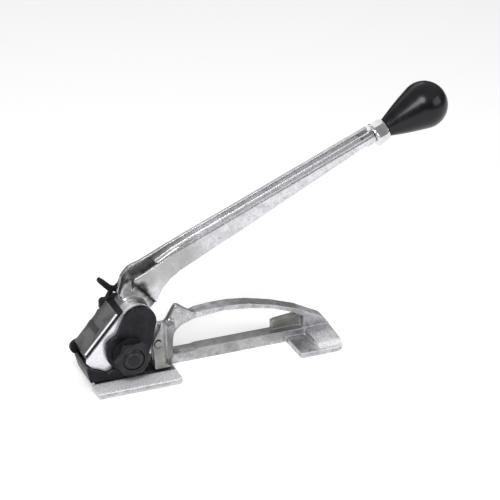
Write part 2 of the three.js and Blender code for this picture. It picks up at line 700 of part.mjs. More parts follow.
function drivePawl() {
  const nose = onLever(13.4, drivePawlAngle);
  const noseTop = onLever(18.5, drivePawlAngle + 0.1);
  const body = slab([
    nose, onLever(14.2, drivePawlAngle - 0.3), [19.5, 80.5], [25.5, 82], [29, 86.8], [34.4, 86.8],
    [34.4, 89.6], [25, 90.4], [18, 87], noseTop,
  ], pocketNear + 0.5, pocketFar - 0.5);
  return cut(body, rod(drivePawlAxis, 2.3, 0, 60, 20));
}

// Springs and their posts ------------------------------------------------------------------------------
function rockerSpring() {
  return helix(springPost.x, springPost.y, footTop + 1.2, springPost.pinHeight - 1.8, 3.4, 0.6, 6);
}

function springScrew() {
  const shank = post(springPost.x, springPost.y, 2, 0.4, footTop + 0.9);
  const head = post(springPost.x, springPost.y, 3.9, 0.1, 0.5);
  return join(shank, head);
}

// Assembly ---------------------------------------------------------------------------------------------
const meshLine = Math.atan2(wheelAxis.z - leverAxis.z, wheelAxis.x - leverAxis.x);
const ringFrom = gearFar + 0.4;

add('base_frame', baseFrame(), finish.cast);
add('gripper_plate', gripperPlate(), finish.steel);
add('gripper_screw_front', gripperScrew(gripPlate.screws[0]), finish.steel);
add('gripper_screw_rear', gripperScrew(gripPlate.screws[1]), finish.steel);
add('rocker_pin', rockerPin(), finish.steel);
add('rocker_pin_clip', clip(rockerAxis, rockerPinRadius, plateFar + 0.5), finish.steel);

add('near_arm', nearArm(), finish.black);
add('near_cheek', nearCheek(), finish.zinc);
add('front_block', frontBlock(), finish.black);
add('front_cover', cover(), finish.chrome);
add('cover_band', labelPlate(), finish.label);
add('far_plate', farPlate(), finish.black);
add('gear_guard', guard(), finish.black);
blockScrews.forEach((axis, i) => add(`block_screw_${i + 1}`, flushScrew(axis), finish.black));
guardScrews.forEach((axis, i) => {
  add(`guard_screw_${i + 1}`, capScrew(axis, 1.5, 6, plateFar + 3.1), finish.black);
});

add('feed_shaft', feedShaft(), finish.black);
add('feed_wheel', feedWheel(), finish.steel);
add('wheel_key', key(wheelAxis, shaftRadius, wheelNear + 0.9, wheelFar - 0.9), finish.steel);
const gearTurn = meshLine + Math.PI + Math.PI / gearTeeth;
add('drive_gear', gear(wheelAxis, gearTeeth, gearTurn, shaftRadius + gap, shaftRadius), finish.steel);
add('gear_key', key(wheelAxis, shaftRadius, gearNear + 0.9, gearFar - 0.9), finish.steel);
add('gear_clip', clip(wheelAxis, shaftRadius - 0.1, ringFrom), finish.steel);
add('feed_bush_near', ring(wheelAxis, shaftRadius + gap, bushRadius, armNear + 0.3, armFar), finish.bronze);
add('feed_bush_far', ring(wheelAxis, shaftRadius + gap, bushRadius, plateNear, plateFar), finish.bronze);
add('feed_washer', ring(wheelAxis, shaftRadius + gap, 16.4, -1.8, -gap), finish.black);
add('feed_nut', hexNut(wheelAxis, 30, shaftRadius + gap, -11, -2.1), finish.black);

add('upper_shaft', upperShaft(), finish.steel);
add('pinion', pinion(meshLine), finish.steel);
add('pinion_key', smallKey(gearNear + 0.9, gearFar - 0.9), finish.steel);
add('pinion_clip', clip(leverAxis, upperShaftRadius - 0.1, ringFrom), finish.steel);
add('ratchet_wheel', ratchetWheel(), finish.steel);
add('ratchet_key', smallKey(pocketNear + 1.5, pocketFar - 1.5), finish.steel);

add('holding_pawl', holdingPawl(), finish.black);
add('holding_pawl_pin', join(rod(catchAxis, 2.5, plateNear, gearFar + 0.4, 20),
  rod(catchAxis, 3.8, gearFar - 0.7, gearFar + 0.6, 20)), finish.steel);

add('handle', handle(), finish.zinc);
add('hub_bush_near', ring(leverAxis, upperShaftRadius + gap, hubBushRadius, saddleFar + 0.5, pocketNear),
  finish.bronze);
add('hub_bush_far', ring(leverAxis, upperShaftRadius + gap, hubBushRadius, pocketFar, hubFar - gap),
  finish.bronze);
add('drive_pawl', drivePawl(), finish.steel);
add('drive_pawl_pin', rod(drivePawlAxis, 2, shankNear + 1.8, hubFar - 0.2, 20), finish.steel);
add('drive_pawl_spring', helix(32, 29.5, 81.6, 86.5, 1.8, 0.35, 4), finish.steel);
add('knob_collar', collar(), finish.chrome);
add('knob_stud', knobStud(), finish.steel);
add('knob', knob(), finish.plastic);
add('rocker_spring', rockerSpring(), finish.steel);
add('spring_screw', springScrew(), finish.steel);
add('spring_pin', rod(springPin, 1.5, 25, plateFar - gap, 16), finish.steel);

export default tool;
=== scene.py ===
# Strapping tensioner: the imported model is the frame, castings and finishes are made here.
# Lengths in the dictionaries are in millimetres unless a note says otherwise.
import json
import math

import bmesh
import bpy
from mathutils import Matrix, Vector

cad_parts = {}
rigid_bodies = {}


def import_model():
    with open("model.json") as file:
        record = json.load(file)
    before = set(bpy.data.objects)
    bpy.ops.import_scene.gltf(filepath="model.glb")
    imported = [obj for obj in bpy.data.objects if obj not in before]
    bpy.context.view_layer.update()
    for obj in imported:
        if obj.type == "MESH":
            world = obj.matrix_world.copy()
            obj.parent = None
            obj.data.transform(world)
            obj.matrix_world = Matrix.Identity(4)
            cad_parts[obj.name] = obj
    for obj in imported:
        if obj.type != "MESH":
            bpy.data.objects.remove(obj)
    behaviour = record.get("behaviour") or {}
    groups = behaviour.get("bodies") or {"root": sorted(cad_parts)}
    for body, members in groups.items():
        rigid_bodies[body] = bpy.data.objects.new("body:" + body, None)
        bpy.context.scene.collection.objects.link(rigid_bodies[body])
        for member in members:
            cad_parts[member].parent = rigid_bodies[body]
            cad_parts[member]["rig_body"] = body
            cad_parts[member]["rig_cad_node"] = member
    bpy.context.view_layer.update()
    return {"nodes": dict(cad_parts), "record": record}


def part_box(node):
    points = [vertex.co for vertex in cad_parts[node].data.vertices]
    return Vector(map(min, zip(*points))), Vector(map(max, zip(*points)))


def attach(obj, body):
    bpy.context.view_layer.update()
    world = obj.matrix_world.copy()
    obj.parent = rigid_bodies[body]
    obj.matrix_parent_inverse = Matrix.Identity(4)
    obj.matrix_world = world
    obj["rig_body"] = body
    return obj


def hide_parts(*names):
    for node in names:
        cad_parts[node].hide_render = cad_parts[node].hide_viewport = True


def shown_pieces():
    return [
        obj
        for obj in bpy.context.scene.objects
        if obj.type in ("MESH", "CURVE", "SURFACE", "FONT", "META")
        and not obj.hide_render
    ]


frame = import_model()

mm = 0.001
nodes = frame["nodes"]
slots = {row["node"]: row["material_slot"] for row in frame["record"]["subparts"]}
print("frame loaded:", len(nodes), "nodes")


def centreOf(node):
    low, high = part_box(node)
    return (low + high) / 2


feedAxis = centreOf("feed_nut")
leverAxis = centreOf("pinion")


# camera, light and floor
view = {
    "azimuth": -22.5, "elevation": 25.0,  # degrees
    "aim": (0.1188, 0.0062, 0.1098), "distance": 1.69,  # metres
    "lens": 135.0, "sensor": 36.0,  # millimetres
}
light = {
    "sky": 0.5, "horizon": 0.13, "skyFrom": 0.1, "skyFull": 0.85,
    "floor": (0.93, 0.93, 0.935), "floorShade": 0.995, "glow": 0.34, "reach": 6.0, "drop": 0.0002,
}
# area lamps, in metres and watts, all aimed at the tool's middle
lampAim = (0.1, 0, 0.08)
lamps = {
    "key": {"place": (-0.5, -0.9, 1.3), "size": (0.7, 0.7), "power": 16.5},
    "fill": {"place": (1.1, -0.8, 0.7), "size": (0.9, 0.6), "power": 4.0},
    "rim": {"place": (0.2, 1.1, 1.0), "size": (1.2, 0.5), "power": 1.5},
}


class Wire:
    # an output socket that can be used in sums
    def __init__(self, paint, socket):
        self.paint = paint
        self.socket = socket

    def maths(self, operation, first, second):
        return self.paint.node("ShaderNodeMath", {"operation": operation}, {0: first, 1: second})

    def __add__(self, other):
        return self.maths("ADD", self, other)

    def __radd__(self, other):
        return self.maths("ADD", other, self)

    def __sub__(self, other):
        return self.maths("SUBTRACT", self, other)

    def __rsub__(self, other):
        return self.maths("SUBTRACT", other, self)

    def __mul__(self, other):
        return self.maths("MULTIPLY", self, other)

    def __rmul__(self, other):
        return self.maths("MULTIPLY", other, self)


class Paint:
    # holder is a new material or world
    def __init__(self, holder):
        self.holder = holder
        holder.use_nodes = True
        self.tree = holder.node_tree
        self.tree.nodes.clear()

    def node(self, kind, settings=None, sockets=None, output=0):
        made = self.tree.nodes.new(kind)
        for key, value in (settings or {}).items():
            setattr(made, key, value)
        for key, value in (sockets or {}).items():
            if isinstance(value, Wire):
                self.tree.links.new(value.socket, made.inputs[key])
            else:
                made.inputs[key].default_value = value
        return Wire(self, made.outputs[output]) if made.outputs else made

    def place(self, stretch=(1, 1, 1)):
        # position on the piece, in metres, so the grain moves with it
        here = self.node("ShaderNodeTexCoord", output="Object")
        return self.node("ShaderNodeVectorMath", {"operation": "MULTIPLY"}, {0: here, 1: stretch})

    def measure(self, operation, first, second):
        # one number from two vectors
        return self.node("ShaderNodeVectorMath", {"operation": operation}, {0: first, 1: second}, "Value")

    def noise(self, where, scale, detail=3.0, rough=0.55, warp=0.0):
        return self.node("ShaderNodeTexNoise", None, {
            "Vector": where, "Scale": scale, "Detail": detail, "Roughness": rough, "Distortion": warp})

    def spread(self, value, low, high, outLow=0.0, outHigh=1.0):
        return self.node("ShaderNodeMapRange", {"interpolation_type": "SMOOTHSTEP"}, {
            "Value": value, "From Min": low, "From Max": high, "To Min": outLow, "To Max": outHigh})

    def blend(self, share, first, second):
        return self.node("ShaderNodeMix", {"data_type": "RGBA"}, {0: share, 6: first, 7: second}, output=2)

    def near(self, here, centre, inner, outer):
        # 1 within inner of a point in millimetres, fading to 0 at outer
        point = tuple(c * mm for c in centre)
        return self.spread(self.measure("DISTANCE", here, point), inner * mm, outer * mm, 1.0, 0.0)

    def zone(self, here, slopes):
        # each slope: direction, where along it the zone is 0, where it is 1, in millimetres
        share = None
        for direction, zero, full in slopes:
            slope = self.spread(self.measure("DOT_PRODUCT", here, direction), zero * mm, full * mm)
            share = slope if share is None else share * slope
        return share

    def edges(self, radius):
        # 0 on flats, rising on edges and corners
        soft = self.node("ShaderNodeBevel", {"samples": 4}, {"Radius": radius * mm})
        flat = self.node("ShaderNodeNewGeometry", output="Normal")
        return 1 - self.measure("DOT_PRODUCT", soft, flat)

    def bump(self, height, strength, distance, after=None):
        sockets = {"Height": height, "Strength": strength, "Distance": distance * mm}
        if after is not None:
            sockets["Normal"] = after
        return self.node("ShaderNodeBump", None, sockets)

    def finish(self, sockets):
        surface = self.node("ShaderNodeBsdfPrincipled", None, sockets)
        self.node("ShaderNodeOutputMaterial", None, {"Surface": surface})
        return self.holder


def newPaint(name):
    return Paint(bpy.data.materials.new(name))


def rgb(value):
    return (*value, 1.0)


# where each layer of the casting finish starts to show, and where it is full
castRamps = {
    "pits": (0.62, 0.74), "edgeWearHighlight": (0.012, 0.12), "tone": (0.3, 0.7), "stain": (0.5, 0.68),
    "grain": (0.35, 0.7), "raggedWearHighlight": (0.3, 0.55), "darkening": (0.2, 0.6), "bare": (0.4, 0.58),
}
castShares = {
    "grain": 0.3, "pits": 0.45, "raggedWearHighlightLow": 0.45, "darkeningLow": 0.6, "bareLow": 0.35,
    "pitRough": 0.15, "wornRough": 0.12, "bareRough": 0.15, "pitDepth": 0.6,
}


def castFinish(name, look):
    # rough tumbled zinc: soft mottling, fine grain, pits, stains, edges rubbed bright and painted with an
    # edge highlight, placed painted shade, painted strips of highlight and shade
    ramps, shares = castRamps, castShares
    paint = newPaint(name)
    here = paint.place()
    broad = paint.noise(here, look["broadScale"], 3.0, 0.6, 0.2)
    patch = paint.noise(here, look["patchScale"], 5.0, 0.62, 0.3)
    grain = paint.noise(here, look["grainScale"], 3.0, 0.6)
    pits = paint.spread(paint.noise(here, look["pitScale"], 2.0), *ramps["pits"])
    edgeWearHighlight = paint.spread(paint.edges(look["edgeRadius"]), *ramps["edgeWearHighlight"])
    tone = paint.spread(patch, *ramps["tone"])
    colour = paint.blend(tone, rgb(look["dark"]), rgb(look["light"]))
    stain = paint.spread(broad, *ramps["stain"])
    colour = paint.blend(stain * look["stainShare"], colour, rgb(look["stain"]))
    glint = paint.spread(grain, *ramps["grain"]) * shares["grain"]
    colour = paint.blend(glint, colour, rgb(look["bright"]))
    colour = paint.blend(pits * shares["pits"], colour, rgb(look["pit"]))
    # edges rubbed bright, which also paints an edge highlight on them
    raggedWearHighlight = edgeWearHighlight * paint.spread(grain, *ramps["raggedWearHighlight"], shares["raggedWearHighlightLow"], 1.0)
    colour = paint.blend(raggedWearHighlight * look["wearHighlight"], colour, rgb(look["bright"]))
    # placed darker patches (stains and painted shade), then painted shade spots in gaps and creases
    for rows, tint in ((look["stainsAndShade"], look["stain"]), (look["paintedShadeSpots"], look["shadeColour"])):
        for centre, inner, outer, share in rows:
            cloudy = paint.spread(patch, *ramps["darkening"], shares["darkeningLow"], 1.0)
            darkening = paint.near(here, centre, inner, outer) * cloudy
            colour = paint.blend(darkening * share, colour, rgb(tint))
    smooth, coarse = look["rough"]
    rough = paint.spread(patch, *ramps["tone"], coarse, smooth)
    rough = rough + shares["pitRough"] * pits - shares["wornRough"] * edgeWearHighlight
    metal = look["metal"] - raggedWearHighlight * look["edgeMatt"]
    # painted strips of highlight and shade, broken up by the grain
    for slopes, tint, share, matt in look["strips"]:
        bare = paint.zone(here, slopes) * paint.spread(grain, *ramps["bare"], shares["bareLow"], 1.0)
        colour = paint.blend(bare * share, colour, rgb(tint))
        metal = metal - bare * matt
        rough = rough + bare * shares["bareRough"]
    lumps = paint.bump(patch, look["lump"], 0.5)
    skin = paint.bump(grain - pits * shares["pitDepth"], look["skin"], 0.12, lumps)
    return paint.finish({
        "Base Color": colour, "Metallic": metal, "Roughness": rough, "Normal": skin})


alongWay, acrossWay, upWay = (1, 0, 0), (0, 1, 0), (0, 0, 1)
coverWay = (-0.75, 0, 0.6616)  # out of the cover's face
shankWay = (-0.389, 0, 0.921)  # square to the shank's top line

# rows of darker patches (stains and painted shade) and of painted shade spots: centre, full strength
# within, gone beyond, share
castLook = {
    "dark": (0.27, 0.27, 0.285), "light": (0.56, 0.56, 0.59), "stain": (0.17, 0.17, 0.135),
    "bright": (0.94, 0.94, 0.97), "pit": (0.14, 0.135, 0.13), "shadeColour": (0.03, 0.028, 0.025),
    "stainShare": 0.5, "broadScale": 30.0, "patchScale": 150.0, "grainScale": 950.0, "pitScale": 520.0,
    "edgeRadius": 1.5, "wearHighlight": 1.0, "rough": (0.28, 0.46), "lump": 0.3, "skin": 0.4, "metal": 0.92,
    "edgeMatt": 0.7,
    # darker patches on the column, along the bar's far side and at the foot of the rear wall; those at the
    # rear wall are painted shade
    "stainsAndShade": [((166, 34, 22), 9, 22, 0.6), ((150, 30, 13), 6, 20, 0.5), ((36, 10, 8), 8, 22, 0.5),
               ((34, 0, 30), 10, 30, 0.5), ((50, 26, 16), 3, 14, 0.4), ((45, 28, 50), 3, 16, 0.35),
               ((100, 34, 14), 6, 44, 0.5), ((66, 34, 13), 6, 24, 0.5), ((135, 34, 14), 6, 24, 0.5)],
    # painted shade spots in gaps and creases by the column, at the grip's end and beside the arm
    "paintedShadeSpots": [((52, 24, 13), 1.5, 7, 0.6), ((183, 30, 20), 1.5, 5, 0.85), ((41, 24, 60), 1, 6, 0.5),
              ((44, 26, 70), 0.5, 5, 0.4), ((26, 0, 30), 4, 14, 0.35)],
    # painted strips of highlight and shade: slopes that bound it, colour, share, how much less metallic
    "strips": [
        # painted highlight on the front foot's top, in front of the arm
        ([(acrossWay, 1.6, 0.2), (upWay, 5.0, 5.8), (upWay, 9, 7)], (0.97, 0.97, 1.0), 0.97, 0.85),
        # painted highlight on the rear pad, strongest at its front
        ([(alongWay, 174, 190), (acrossWay, 18, 4), (upWay, 3.4, 4.2)], (0.95, 0.94, 0.93), 0.65, 0.45),
    ],
}
leverLook = dict(
    castLook, dark=(0.47, 0.47, 0.49), light=(0.66, 0.66, 0.685), stain=(0.27, 0.27, 0.255),
    stainShare=0.3, rough=(0.24, 0.4), patchScale=120.0,
    strips=[
        # painted highlight on the hub's saddle, then painted shade lines along the shank's near flange
        ([(alongWay, 14, 7), (upWay, 63, 68), (upWay, 84, 80), (acrossWay, 20, 18)],
         (0.9, 0.9, 0.9), 0.75, 0.5),
        ([(acrossWay, 22.9, 23.2), (acrossWay, 25.7, 25.2), (shankWay, 87.2, 85.6),
          (shankWay, 79.6, 80.4)], (0.02, 0.02, 0.02), 0.95, 0.0),
        ([(acrossWay, 20.7, 20.3), (shankWay, 82.9, 83.7), (shankWay, 85.1, 84.6),
          (alongWay, 30, 40)], (0.03, 0.03, 0.03), 0.8, 0.0),
    ],
    # darker patches near the hub and on the far flange's inner wall; the one right of the hub is painted
    # shade
    stainsAndShade=[((21, 16, 74), 5, 12, 0.9), ((14, 34, 90), 10, 26, 0.75), ((49, 21, 103), 8, 34, 0.6),
            ((70, 21, 108), 4, 22, 0.4), ((36, 34, 108), 5, 18, 0.5), ((26, 20, 90), 3, 12, 0.5)],
    # painted shade in the crease between hub and flange, at the groove's mouth, and last in the oil hole
    paintedShadeSpots=[((19.6, 22, 84.6), 3, 8, 0.95), ((22.5, 21.5, 80), 2, 5.5, 0.95), ((25, 21.5, 75), 1.8, 5, 0.95),
           ((28, 21.5, 70), 1.5, 5, 0.9), ((30.5, 21.5, 65.5), 1.5, 5, 0.9), ((12, 21, 87), 2, 6, 0.6),
           ((7, 23.5, 92), 1, 4.5, 0.75), ((7.7, 15.5, 76), 2.4, 3.0, 1.0)])

steelRamps = {
    "edgeWearHighlight": (0.03, 0.25), "cloud": (0.35, 0.65), "line": (0.45, 0.75), "speck": (0.6, 0.75),
    "rough": (0.3, 0.7),
}
wornPolish = 0.08


def steelFinish(name, look):
    # plated, ground or blackened steel: fine brushing, faint cloudiness, rubbed edges with a painted edge
    # highlight, painted strips of highlight and shade
    ramps = steelRamps
    paint = newPaint(name)
    brushed = paint.noise(paint.place(look["brush"]), 1.0, 4.0, 0.65)
    here = paint.place()
    cloud = paint.noise(here, look["cloudScale"], 3.0, 0.6, 0.5)
    speck = paint.noise(here, look["speckScale"], 2.0, 0.6)
    edgeWearHighlight = paint.spread(paint.edges(look["edgeRadius"]), *ramps["edgeWearHighlight"])
    metal = look["metal"] - edgeWearHighlight * look["edgeMatt"]
    colour = paint.blend(paint.spread(cloud, *ramps["cloud"]), rgb(look["dark"]), rgb(look["light"]))
    scratch = paint.spread(brushed, *ramps["line"]) * look["lineShare"]
    colour = paint.blend(scratch, colour, rgb(look["line"]))
    dots = paint.spread(speck, *ramps["speck"]) * look["speckShare"]
    colour = paint.blend(dots, colour, rgb(look["speck"]))
    # edges rubbed bare, which also paints an edge highlight on them
    colour = paint.blend(edgeWearHighlight * look["wearHighlight"], colour, rgb(look["bare"]))
    # painted strips of highlight and shade
    for slopes, tint, share, matt in look["strips"]:
        bare = paint.zone(here, slopes)
        colour = paint.blend(bare * share, colour, rgb(tint))
        metal = metal - bare * matt
    rough = paint.spread(cloud, *ramps["rough"], *look["rough"])
    rough = rough + (brushed - 0.5) * look["lineRough"] - edgeWearHighlight * look["wearHighlight"] * wornPolish
    lines = paint.bump(brushed, look["lineBump"], 0.05)
    skin = paint.bump(speck, look["skin"], 0.08, lines)
    return paint.finish({
        "Base Color": colour, "Metallic": metal, "Roughness": rough, "Normal": skin,
        "Specular IOR Level": look["gloss"]})


blackLook = {
    "dark": (0.011, 0.011, 0.014), "light": (0.022, 0.021, 0.026), "line": (0.05, 0.05, 0.056),
    "speck": (0.08, 0.075, 0.075), "bare": (0.3, 0.29, 0.3), "lineShare": 0.2, "speckShare": 0.2,
    "brush": (700, 700, 700), "cloudScale": 80.0, "speckScale": 1100.0, "edgeRadius": 0.7, "wearHighlight": 0.28,
    "rough": (0.34, 0.5), "lineRough": 0.1, "lineBump": 0.08, "skin": 0.25, "metal": 0.5,
    "edgeMatt": 0.0, "strips": [], "gloss": 0.25,
}
brightLook = {
    "dark": (0.78, 0.78, 0.83), "light": (0.88, 0.88, 0.93), "line": (0.94, 0.94, 0.97),
    "speck": (0.45, 0.44, 0.44), "bare": (0.95, 0.95, 0.96), "lineShare": 0.35, "speckShare": 0.15,
    "brush": (300, 30, 1400), "cloudScale": 60.0, "speckScale": 900.0, "edgeRadius": 0.5, "wearHighlight": 0.5,
    "rough": (0.2, 0.3), "lineRough": 0.12, "lineBump": 0.06, "skin": 0.06, "metal": 0.6,
    "edgeMatt": 0.2, "strips": [], "gloss": 0.5,
}
# the cover is the bright plate made darker: a painted reflection of dark surroundings in its chrome face
coverLook = dict(
    brightLook, dark=(0.34, 0.34, 0.345), light=(0.46, 0.46, 0.47), line=(0.54, 0.54, 0.55),
    brush=(900, 60, 900), rough=(0.26, 0.36), wearHighlight=0.9, metal=0.9,
    # painted highlight on the near flange, with a painted shade line under the cover's face
    strips=[([(acrossWay, 7.9, 7.3)], (0.95, 0.95, 0.96), 1.0, 0.7),
            ([(acrossWay, 6.9, 6.5), (coverWay, 52.3, 51.7)], (0.02, 0.02, 0.02), 1.0, 0.0)])
collarLook = dict(
    brightLook, dark=(0.6, 0.6, 0.61), light=(0.74, 0.74, 0.76), rough=(0.05, 0.12), metal=1.0,
    brush=(500, 500, 500), lineShare=0.15)
steelLook = dict(
    brightLook, dark=(0.2, 0.2, 0.205), light=(0.32, 0.32, 0.33), line=(0.5, 0.5, 0.51), metal=0.9,
    speck=(0.2, 0.16, 0.13), speckShare=0.3, brush=(900, 900, 900), rough=(0.28, 0.42))
bronzeLook = dict(
    brightLook, dark=(0.38, 0.24, 0.11), light=(0.55, 0.38, 0.19), line=(0.66, 0.48, 0.26), metal=0.9,
    speck=(0.16, 0.1, 0.05), bare=(0.7, 0.52, 0.3), brush=(800, 800, 800), rough=(0.3, 0.45))
nutLook = dict(
    blackLook, dark=(0.016, 0.016, 0.019), light=(0.03, 0.03, 0.035), rough=(0.26, 0.4), wearHighlight=0.5)

plasticRamps = {"marks": (0.56, 0.74), "flow": (0.3, 0.7)}
markRough = 0.12


def plasticFinish(name, look):
    # moulded plastic: faint flow waves, fine handling marks and dust in the gloss
    paint = newPaint(name)
    here = paint.place()
    flow = paint.noise(here, look["flowScale"], 2.0, 0.5, 1.2)
    scuff = paint.noise(paint.place(look["scuffStretch"]), 1.0, 4.0, 0.7)
    fine = paint.noise(here, look["fineScale"], 2.0)
    marks = paint.spread(scuff, *plasticRamps["marks"])
    wavy = paint.spread(flow, *plasticRamps["flow"])
    colour = paint.blend(wavy, rgb(look["dark"]), rgb(look["light"]))
    colour = paint.blend(marks * look["markShare"], colour, rgb(look["mark"]))
    rough = paint.spread(flow, *plasticRamps["flow"], *look["rough"]) + marks * markRough
    wave = paint.bump(flow, look["wave"], 0.4)
    skin = paint.bump(fine, look["skin"], 0.05, wave)
    return paint.finish({
        "Base Color": colour, "Metallic": 0.0, "Roughness": rough, "Normal": skin, "IOR": 1.5,
        "Specular IOR Level": look["gloss"]})


knobLook = {
    "dark": (0.004, 0.004, 0.006), "light": (0.009, 0.009, 0.012), "mark": (0.05, 0.05, 0.06),
    "markShare": 0.2, "flowScale": 40.0, "fineScale": 1600.0, "scuffStretch": (260, 900, 260),
    "rough": (0.2, 0.28), "wave": 0.04, "skin": 0.08, "gloss": 0.3,
}
bandLook = dict(
    knobLook, dark=(0.05, 0.05, 0.053), light=(0.08, 0.08, 0.085), mark=(0.18, 0.18, 0.19),
    rough=(0.4, 0.55))

finishes = {
    "zinc_casting": castFinish("zincCasting", castLook),
    "lever_casting": castFinish("leverCasting", leverLook),
    "bright_plate": steelFinish("brightPlate", brightLook),
    "bright_cover": steelFinish("brightCover", coverLook),
    "grey_band": plasticFinish("greyBand", bandLook),
    "black_steel": steelFinish("blackSteel", blackLook),
    "black_hardware": steelFinish("blackHardware", nutLook),
    "black_plastic": plasticFinish("blackPlastic", knobLook),
    "bright_collar": steelFinish("brightCollar", collarLook),
    "bronze": steelFinish("bronze", bronzeLook),
    "hardened_steel": steelFinish("hardenedSteel", steelLook),
    "plain_steel": steelFinish("plainSteel", dict(steelLook, brush=(400, 1500, 400))),
}
print("finishes:", len(finishes))


# shape helpers, all in millimetres until a piece is made
def pieceFrom(name, shape, slotName, body, stands):
    mesh = bpy.data.meshes.new(name)
    shape.normal_update()
    shape.to_mesh(mesh)
    shape.free()
    piece = bpy.data.objects.new(name, mesh)
    bpy.context.scene.collection.objects.link(piece)
    mesh.materials.append(finishes[slotName])
    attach(piece, body)
    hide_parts(*stands)
    return piece


def slabOf(outline, near, far):
    shape = bmesh.new()
    ring = [shape.verts.new((x, near, z)) for x, z in outline]
    face = shape.faces.new(ring)
    lifted = bmesh.ops.extrude_face_region(shape, geom=[face])["geom"]
    for part in lifted:
        if isinstance(part, bmesh.types.BMVert):
            part.co.y = far
    bmesh.ops.recalc_face_normals(shape, faces=shape.faces)
    return shape


def hexagon(reach):
    # corners at reach from the middle
    turns = [math.radians(60 * i) for i in range(6)]
    return [(reach * math.cos(turn), reach * math.sin(turn)) for turn in turns]


def hullOf(points):
    shape = bmesh.new()
    for point in points:
        shape.verts.new(point)
    bmesh.ops.convex_hull(shape, input=shape.verts)
    loose = [v for v in shape.verts if not v.link_faces]
    bmesh.ops.delete(shape, geom=loose, context="VERTS")
    bmesh.ops.recalc_face_normals(shape, faces=shape.faces)
    return shape


def latheOf(profile, steps=96):
    # turned about +Y: profile holds (radius, along) from one end to the other
    shape = bmesh.new()
    turns = [2 * math.pi * i / steps for i in range(steps)]
    rings = []
    for radius, along in profile:
        ring = [(radius * math.cos(turn), along, radius * math.sin(turn)) for turn in turns]
        if radius == 0:
            ring = [(0, along, 0)]
        rings.append([shape.verts.new(point) for point in ring])
    for first, second in zip(rings, rings[1:]):
        for i in range(steps):
            j = (i + 1) % steps
            if len(first) == 1 and len(second) > 1:
                shape.faces.new((first[0], second[i], second[j]))
            elif len(second) == 1 and len(first) > 1:
                shape.faces.new((first[i], second[0], first[j]))
            elif len(first) > 1:
                shape.faces.new((first[i], second[i], second[j], first[j]))
    bmesh.ops.recalc_face_normals(shape, faces=shape.faces)
    return shape


def helperObject(shape):
    mesh = bpy.data.meshes.new("helper")
    shape.to_mesh(mesh)
    shape.free()
    helper = bpy.data.objects.new("helper", mesh)
    bpy.context.scene.collection.objects.link(helper)
    return helper


def discard(helper):
    mesh = helper.data
    bpy.data.objects.remove(helper)
    bpy.data.meshes.remove(mesh)


def taken(helper):
    # the helper's final mesh as a shape, with the helper removed
    bpy.context.view_layer.update()
    settled = helper.evaluated_get(bpy.context.evaluated_depsgraph_get())
    shape = bmesh.new()
    shape.from_mesh(settled.to_mesh())
    settled.to_mesh_clear()
    discard(helper)
    return shape


def carve(shape, tool, operation="DIFFERENCE"):
    first, second = helperObject(shape), helperObject(tool)
    knife = first.modifiers.new("carve", "BOOLEAN")
    knife.operation = operation
    knife.solver = "EXACT"
    knife.object = second
    result = taken(first)
    discard(second)
    return result


def cadShape(node):
    # a copy of a node's mesh, in millimetres
    shape = bmesh.new()
    shape.from_mesh(nodes[node].data)
    bmesh.ops.scale(shape, vec=(1 / mm,) * 3, verts=shape.verts)
    bmesh.ops.remove_doubles(shape, verts=shape.verts, dist=0.001)
    return shape


def addTo(shape, extra):
    holder = bpy.data.meshes.new("extra")
    extra.to_mesh(holder)
    extra.free()
    shape.from_mesh(holder)
    bpy.data.meshes.remove(holder)


def smoothAll(shape):
    for face in shape.faces:
        face.smooth = True


def moved(shape, axis):
    # from the origin to a shaft's axis
    bmesh.ops.translate(shape, vec=(axis.x / mm, 0, axis.z / mm), verts=shape.verts)
    return shape


def fused(solids, voxel, rounds):
    # overlapping solids grown into one skin, with soft inside and outside corners
    whole = bmesh.new()
    for solid in solids:
        addTo(whole, solid)
    helper = helperObject(whole)
    skin = helper.modifiers.new("skin", "REMESH")
    skin.mode = "VOXEL"
    skin.voxel_size = voxel
    skin.adaptivity = 0.0
    soften = helper.modifiers.new("soften", "SMOOTH")
    soften.factor = 0.5
    soften.iterations = rounds
    shape = taken(helper)
    smoothAll(shape)
    return shape


def softenWithin(shape, zones, rounds):
    # rounds off only inside boxes (low corner, high corner, fade), full strength at the middle
    helper = helperObject(shape)
    group = helper.vertex_groups.new(name="zone")
    for vertex in helper.data.vertices:
        weight = 0.0
        for low, high, fade in zones:
            inside = min(min((c - l) / fade, (h - c) / fade) for c, l, h in zip(vertex.co, low, high))
            weight = max(weight, min(1.0, inside))
        if weight > 0:
            group.add([vertex.index], weight, "REPLACE")
    soften = helper.modifiers.new("soften", "SMOOTH")
    soften.factor = 0.5
    soften.iterations = rounds
    soften.vertex_group = "zone"
    return taken(helper)


def inMetres(shape):
    bmesh.ops.scale(shape, vec=(mm,) * 3, verts=shape.verts)
    return shape


# base casting, with a root between foot and column, behind the strap
baseCast = {
    "voxel": 0.5, "soften": 2,
    "root": [(20, 23, 6), (20, 36, 6), (44, 23, 6), (44, 36, 6),
             (24, 24, 14), (24, 35, 14), (43, 24, 12), (43, 35, 12)],
    "rootZones": [((20, -8, 7), (74, 42, 66), 5.0)], "rootRounds": 170,
}


def makeBase():
    solids = [cadShape("base_frame"), hullOf(baseCast["root"])]
    shape = fused(solids, baseCast["voxel"], baseCast["soften"])
    shape = softenWithin(shape, baseCast["rootZones"], baseCast["rootRounds"])
    return pieceFrom("baseCasting", inMetres(shape), "zinc_casting", "base", ["base_frame"])


base = makeBase()
print("base casting:", len(base.data.polygons), "faces")

